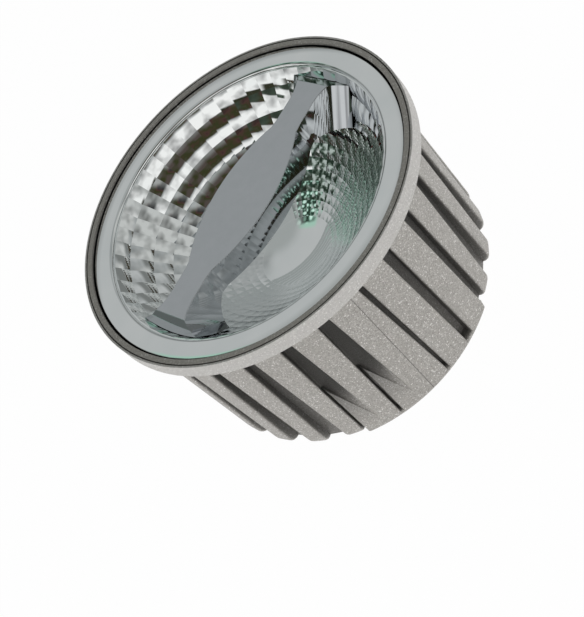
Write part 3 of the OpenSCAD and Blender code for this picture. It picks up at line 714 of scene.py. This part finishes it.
def skinned(name, rings, first_z, last_z):
    """Closed mesh over rings of points, with a middle point at each end."""
    verts = [p for ring in rings for p in ring]
    first, last = len(verts), len(verts) + 1
    verts += [(0, 0, first_z), (0, 0, last_z)]
    end = (len(rings) - 1) * RING_POINTS
    steps = [(k, (k + 1) % RING_POINTS) for k in range(RING_POINTS)]
    faces = []
    for a in range(0, end, RING_POINTS):
        b = a + RING_POINTS
        faces += [(a + k, a + n, b + n, b + k) for k, n in steps]
    for k, n in steps:
        faces += [(first, n, k), (last, end + k, end + n)]
    mesh = bpy.data.meshes.new(name)
    mesh.from_pydata([tuple(x * MM for x in v) for v in verts], [], faces)
    mesh.validate()
    return mesh


def sharpen(mesh, creases, facets):
    """Keeps the given rings crisp, and the columns' borders between two rings."""
    for e in mesh.edges:
        (ring_a, at_a), (ring_b, at_b) = [divmod(v, RING_POINTS) for v in e.vertices]
        low, high = sorted((ring_a, ring_b))
        if low == high:
            e.use_edge_sharp = low in creases
        elif facets[0] <= low and high <= facets[1]:
            e.use_edge_sharp = at_a == at_b and at_a % FACET_STEPS == 0


def reflector_piece():
    """The reflector with pillow facets: chords of the bowl, arched along their height and width."""
    radii = row_radii()
    back = skin_profile()
    outer = revolved(back + flange_profile())
    rows = facet_rings(radii)
    rings = outer + [ring for ring, begins in rows] + revolved(dish_profile(radii[-1]))
    mesh = skinned("reflector_facets", rings, BOWL_VERTEX - BOWL_WALL, BOWL_VERTEX)
    stand_in("reflector_facets", mesh, "reflector")
    base = len(outer)
    last = base + len(rows) - 1
    flange_creases = {len(back) - 1, len(back), len(back) + 1}
    row_creases = {base + i for i, (ring, begins) in enumerate(rows) if begins}
    sharpen(mesh, flange_creases | row_creases | {last, last + 1}, (base, last))


rounded_sink()
reflector_piece()
rounded_bridge()

# Camera, as fitted to the rim and the ribs
CAM = Vector((-0.05045, -0.14468, 0.15913))
RIGHT = Vector((0.4989, -0.6898, -0.5246))
UP = Vector((0.8414, 0.2408, 0.4838))
BACK = Vector((-0.2074, -0.6828, 0.7006))
LENS = 90.86
SENSOR = 36

camera = bpy.data.cameras.new("camera")
camera.lens = LENS
camera.sensor_width = SENSOR
camera.clip_start = 0.01
camera.clip_end = 20
camera_obj = put("camera", camera)
turn = Matrix((RIGHT.normalized(), UP.normalized(), BACK.normalized())).transposed().to_4x4()
camera_obj.matrix_world = Matrix.Translation(CAM) @ turn
scene.camera = camera_obj

# Studio, in metres and degrees
FLOOR_R = 6.0
FLOOR_Z = -0.00005
FLOOR_SIDES = 64
FLOOR_GLOW = 0.985
FILL = 0.3
DOME_R = 1.2
DOME_CENTRE = Vector((0, 0, 0.025))
DOME_ROWS = 24
DOME_COLUMNS = 64
DOME_FROM = -1.0
DOME_TO = 88.0
ZENITH_RISE = (54, 70)
KEY_DIR = (BACK + 0.5 * (0.7 * RIGHT - UP).normalized()).normalized()
TOP_DIR = Vector((0.1, 0.3, 1.0)).normalized()


def seen_directly(t):
    """1 for rays from the camera, and for mirrored and refracted ones."""
    path = t.add("ShaderNodeLightPath")
    both = t.math("MAXIMUM", path.outputs["Is Camera Ray"], path.outputs["Is Glossy Ray"])
    return t.math("MAXIMUM", both, path.outputs["Is Transmission Ray"])


def floor_material():
    """Pale floor that takes the shadow and looks white."""
    t = Tree("floor")
    diffuse = t.add("ShaderNodeBsdfDiffuse")
    t.link(t.tones(3, 2, (0.8, 0.8, 0.8), (0.83, 0.83, 0.83)), diffuse.inputs["Color"])
    glow = t.add("ShaderNodeEmission")
    glow.inputs["Strength"].default_value = 1.0
    mix = t.add("ShaderNodeMixShader")
    t.link(t.times(seen_directly(t), FLOOR_GLOW), mix.inputs["Fac"])
    t.link(diffuse.outputs[0], mix.inputs[1])
    t.link(glow.outputs[0], mix.inputs[2])
    t.link(mix.outputs[0], t.out.inputs["Surface"])
    return t.material


def floor():
    """Round floor just below the module."""
    mesh = bpy.data.meshes.new("floor")
    turns = [2 * math.pi * k / FLOOR_SIDES for k in range(FLOOR_SIDES)]
    points = [(FLOOR_R * math.cos(a), FLOOR_R * math.sin(a), FLOOR_Z) for a in turns]
    mesh.from_pydata(points, [], [tuple(range(FLOOR_SIDES))])
    mesh.materials.append(floor_material())
    put("floor", mesh)


def white_world():
    """White to the camera and the mirrors, and a weak fill for all else."""
    world = bpy.data.worlds.new("studio")
    scene.world = world
    world.use_nodes = True
    tree = world.node_tree
    tree.nodes.clear()
    out = tree.nodes.new("ShaderNodeOutputWorld")
    seen = tree.nodes.new("ShaderNodeBackground")
    fill = tree.nodes.new("ShaderNodeBackground")
    mix = tree.nodes.new("ShaderNodeMixShader")
    path = tree.nodes.new("ShaderNodeLightPath")
    either = tree.nodes.new("ShaderNodeMath")
    either.operation = "MAXIMUM"
    for node in (seen, fill):
        node.inputs["Color"].default_value = (1, 1, 1, 1)
    fill.inputs["Strength"].default_value = FILL
    tree.links.new(path.outputs["Is Camera Ray"], either.inputs[0])
    tree.links.new(path.outputs["Is Glossy Ray"], either.inputs[1])
    tree.links.new(either.outputs[0], mix.inputs["Fac"])
    tree.links.new(fill.outputs[0], mix.inputs[1])
    tree.links.new(seen.outputs[0], mix.inputs[2])
    tree.links.new(mix.outputs[0], out.inputs["Surface"])


# Colours of the dome that the mirrors show
SKY_GREY = (0.5, 0.515, 0.515)
ZENITH_GREY = (0.38, 0.4, 0.395)
LOW_GREY = (0.2, 0.21, 0.205)
SIDE_GREY = (0.18, 0.2, 0.19)
MINT = (0.38, 0.6, 0.49)
HAZE_STOPS = [(NOISE_LOW, (0.27, 0.285, 0.285)), (NOISE_HIGH, SKY_GREY)]
GREEN_STOPS = [(0.42, (0.02, 0.034, 0.024)), (0.52, (0.11, 0.15, 0.12)), (0.6, (0.46, 0.52, 0.49))]
DOT_STOPS = [(0.26, (0.66, 0.92, 0.8)), (0.4, (0.2, 0.36, 0.28)), (0.52, (0.025, 0.05, 0.035))]
SHADE_STOPS = [(0.36, (0.015, 0.02, 0.015)), (0.6, (0.06, 0.08, 0.06)), (0.75, (0.16, 0.2, 0.17))]
GREY_STOPS = [(0.36, (0.2, 0.205, 0.2)), (0.6, (0.6, 0.61, 0.6))]
WHITE_STOPS = [(0.36, (0.36, 0.36, 0.36)), (0.58, (1.0, 1.0, 0.99))]
OLIVE_STOPS = [(0.4, (0.014, 0.015, 0.01)), (0.6, (0.04, 0.042, 0.026))]
BROWN_STOPS = [(0.36, (0.008, 0.008, 0.01)), (0.46, (0.075, 0.04, 0.034)),
               (0.54, (0.04, 0.045, 0.018)), (0.64, (0.085, 0.068, 0.06))]


def dome_ray(t):
    """Direction of a point from the dome's centre, whole and in parts, and its rise in degrees."""
    geo = t.add("ShaderNodeNewGeometry")
    away = t.add("ShaderNodeVectorMath", operation="SUBTRACT")
    t.link(geo.outputs["Position"], away.inputs[0])
    away.inputs[1].default_value = DOME_CENTRE
    unit = t.add("ShaderNodeVectorMath", operation="NORMALIZE")
    t.link(away.outputs[0], unit.inputs[0])
    xyz = t.add("ShaderNodeSeparateXYZ")
    t.link(unit.outputs[0], xyz.inputs[0])
    x, y, z = xyz.outputs
    level = flat_distance(t, x, y)
    rise = t.times(t.math("ARCTAN2", z, level), math.degrees(1))
    return unit.outputs[0], x, y, level, rise


def dome_material():
    """Paint that the mirrors show: grey above, with green, white and dark patches round the sides."""
    t = Tree("studio_dome")
    ray, x, y, level, rise = dome_ray(t)

    def sector(centre, inner, outer):
        """1 inside a range of compass directions, with soft sides."""
        a = math.radians(centre)
        dot = t.math("ADD", t.times(x, math.cos(a)), t.times(y, math.sin(a)))
        side = t.math("DIVIDE", dot, level)
        return t.span(side, math.cos(math.radians(outer)), math.cos(math.radians(inner)), smooth=True)

    def layer(low, low_full, high_full, high):
        """1 inside a range of heights above the horizon, with soft ends."""
        up = t.span(rise, low, low_full, smooth=True)
        return t.times(up, t.span(rise, high_full, high, 1.0, 0.0, smooth=True))

    mottle = t.noise(2.4, 2, 0.5, vector=ray)
    green = t.ramp(t.noise(7.5, 2, 0.5, vector=ray), GREEN_STOPS)
    dots = t.ramp(t.cells(9.0, vector=ray).outputs["Distance"], DOT_STOPS)
    shade = t.ramp(mottle, SHADE_STOPS)
    grey = t.ramp(mottle, GREY_STOPS)
    white = t.ramp(mottle, WHITE_STOPS)
    olive = t.ramp(mottle, OLIVE_STOPS)
    brown = t.ramp(mottle, BROWN_STOPS)
    # Patches in painting order: a compass sector, a range of heights and a colour, angles in degrees
    patches = (
        ((73.1, 26, 44), (24, 32, 62, 76), SKY_GREY),
        ((45, 60, 78), (-8, -4, 12, 19), LOW_GREY),
        ((134, 14, 26), (8, 18, 46, 60), green),
        ((112, 8, 15), (41, 46, 60, 66), MINT),
        ((122, 10, 18), (2, 5, 17, 22), SIDE_GREY),
        ((129, 19, 25), (43, 47, 64, 70), dots),
        ((172, 24, 32), (35, 38, 56, 66), shade),
        ((322, 22, 34), (6, 11, 50, 57), grey),
        ((226, 74, 84), (-8, -4, 33, 37), white),
        ((174, 16, 24), (30, 32, 36, 39), white),
        ((236, 58, 66), (-8, -4, 12.5, 14.5), olive),
        ((243, 48, 66), (36, 39, 62, 72), brown),
        ((155, 9, 13), (23.5, 25, 28.5, 30), shade),
    )
    colour = t.ramp(t.noise(2.5, 2, vector=ray), HAZE_STOPS)
    for where, heights, over in patches:
        colour = t.mix(t.times(sector(*where), layer(*heights)), colour, over)
    colour = t.mix(t.span(rise, *ZENITH_RISE, smooth=True), colour, ZENITH_GREY)
    glow = t.add("ShaderNodeEmission")
    t.link(colour, glow.inputs["Color"])
    t.link(glow.outputs[0], t.out.inputs["Surface"])
    return t.material


def dome():
    """Dome round the set that only the mirrors see."""
    points = []
    quads = []
    for i in range(DOME_ROWS):
        el = math.radians(DOME_FROM + (DOME_TO - DOME_FROM) * i / (DOME_ROWS - 1))
        for k in range(DOME_COLUMNS):
            a = 2 * math.pi * k / DOME_COLUMNS
            ray = Vector((math.cos(el) * math.cos(a), math.cos(el) * math.sin(a), math.sin(el)))
            points.append(tuple(DOME_R * ray))
    for i in range(DOME_ROWS - 1):
        low, high = i * DOME_COLUMNS, (i + 1) * DOME_COLUMNS
        for k in range(DOME_COLUMNS):
            n = (k + 1) % DOME_COLUMNS
            quads.append((low + k, high + k, high + n, low + n))
    quads.append(tuple((DOME_ROWS - 1) * DOME_COLUMNS + k for k in range(DOME_COLUMNS)))
    mesh = bpy.data.meshes.new("studio_dome")
    mesh.from_pydata(points, [], quads)
    mesh.materials.append(dome_material())
    obj = put("studio_dome", mesh)
    obj.location = DOME_CENTRE
    obj.visible_camera = False
    obj.visible_diffuse = False
    obj.visible_shadow = False


def area_light(name, direction, distance, size, watts):
    """Soft round lamp that looks at the module from a direction, unseen in the mirrors."""
    lamp = bpy.data.lights.new(name, "AREA")
    lamp.shape = "DISK"
    lamp.size = size
    lamp.energy = watts
    obj = put(name, lamp)
    obj.location = DOME_CENTRE + direction * distance
    obj.rotation_mode = "QUATERNION"
    obj.rotation_quaternion = direction.to_track_quat("Z", "Y")
    obj.visible_camera = False
    obj.visible_glossy = False


floor()
white_world()
dome()
area_light("key", KEY_DIR, distance=0.7, size=0.34, watts=2.4)
area_light("top", TOP_DIR, distance=0.8, size=0.5, watts=0.5)

scene.view_settings.view_transform = "Standard"
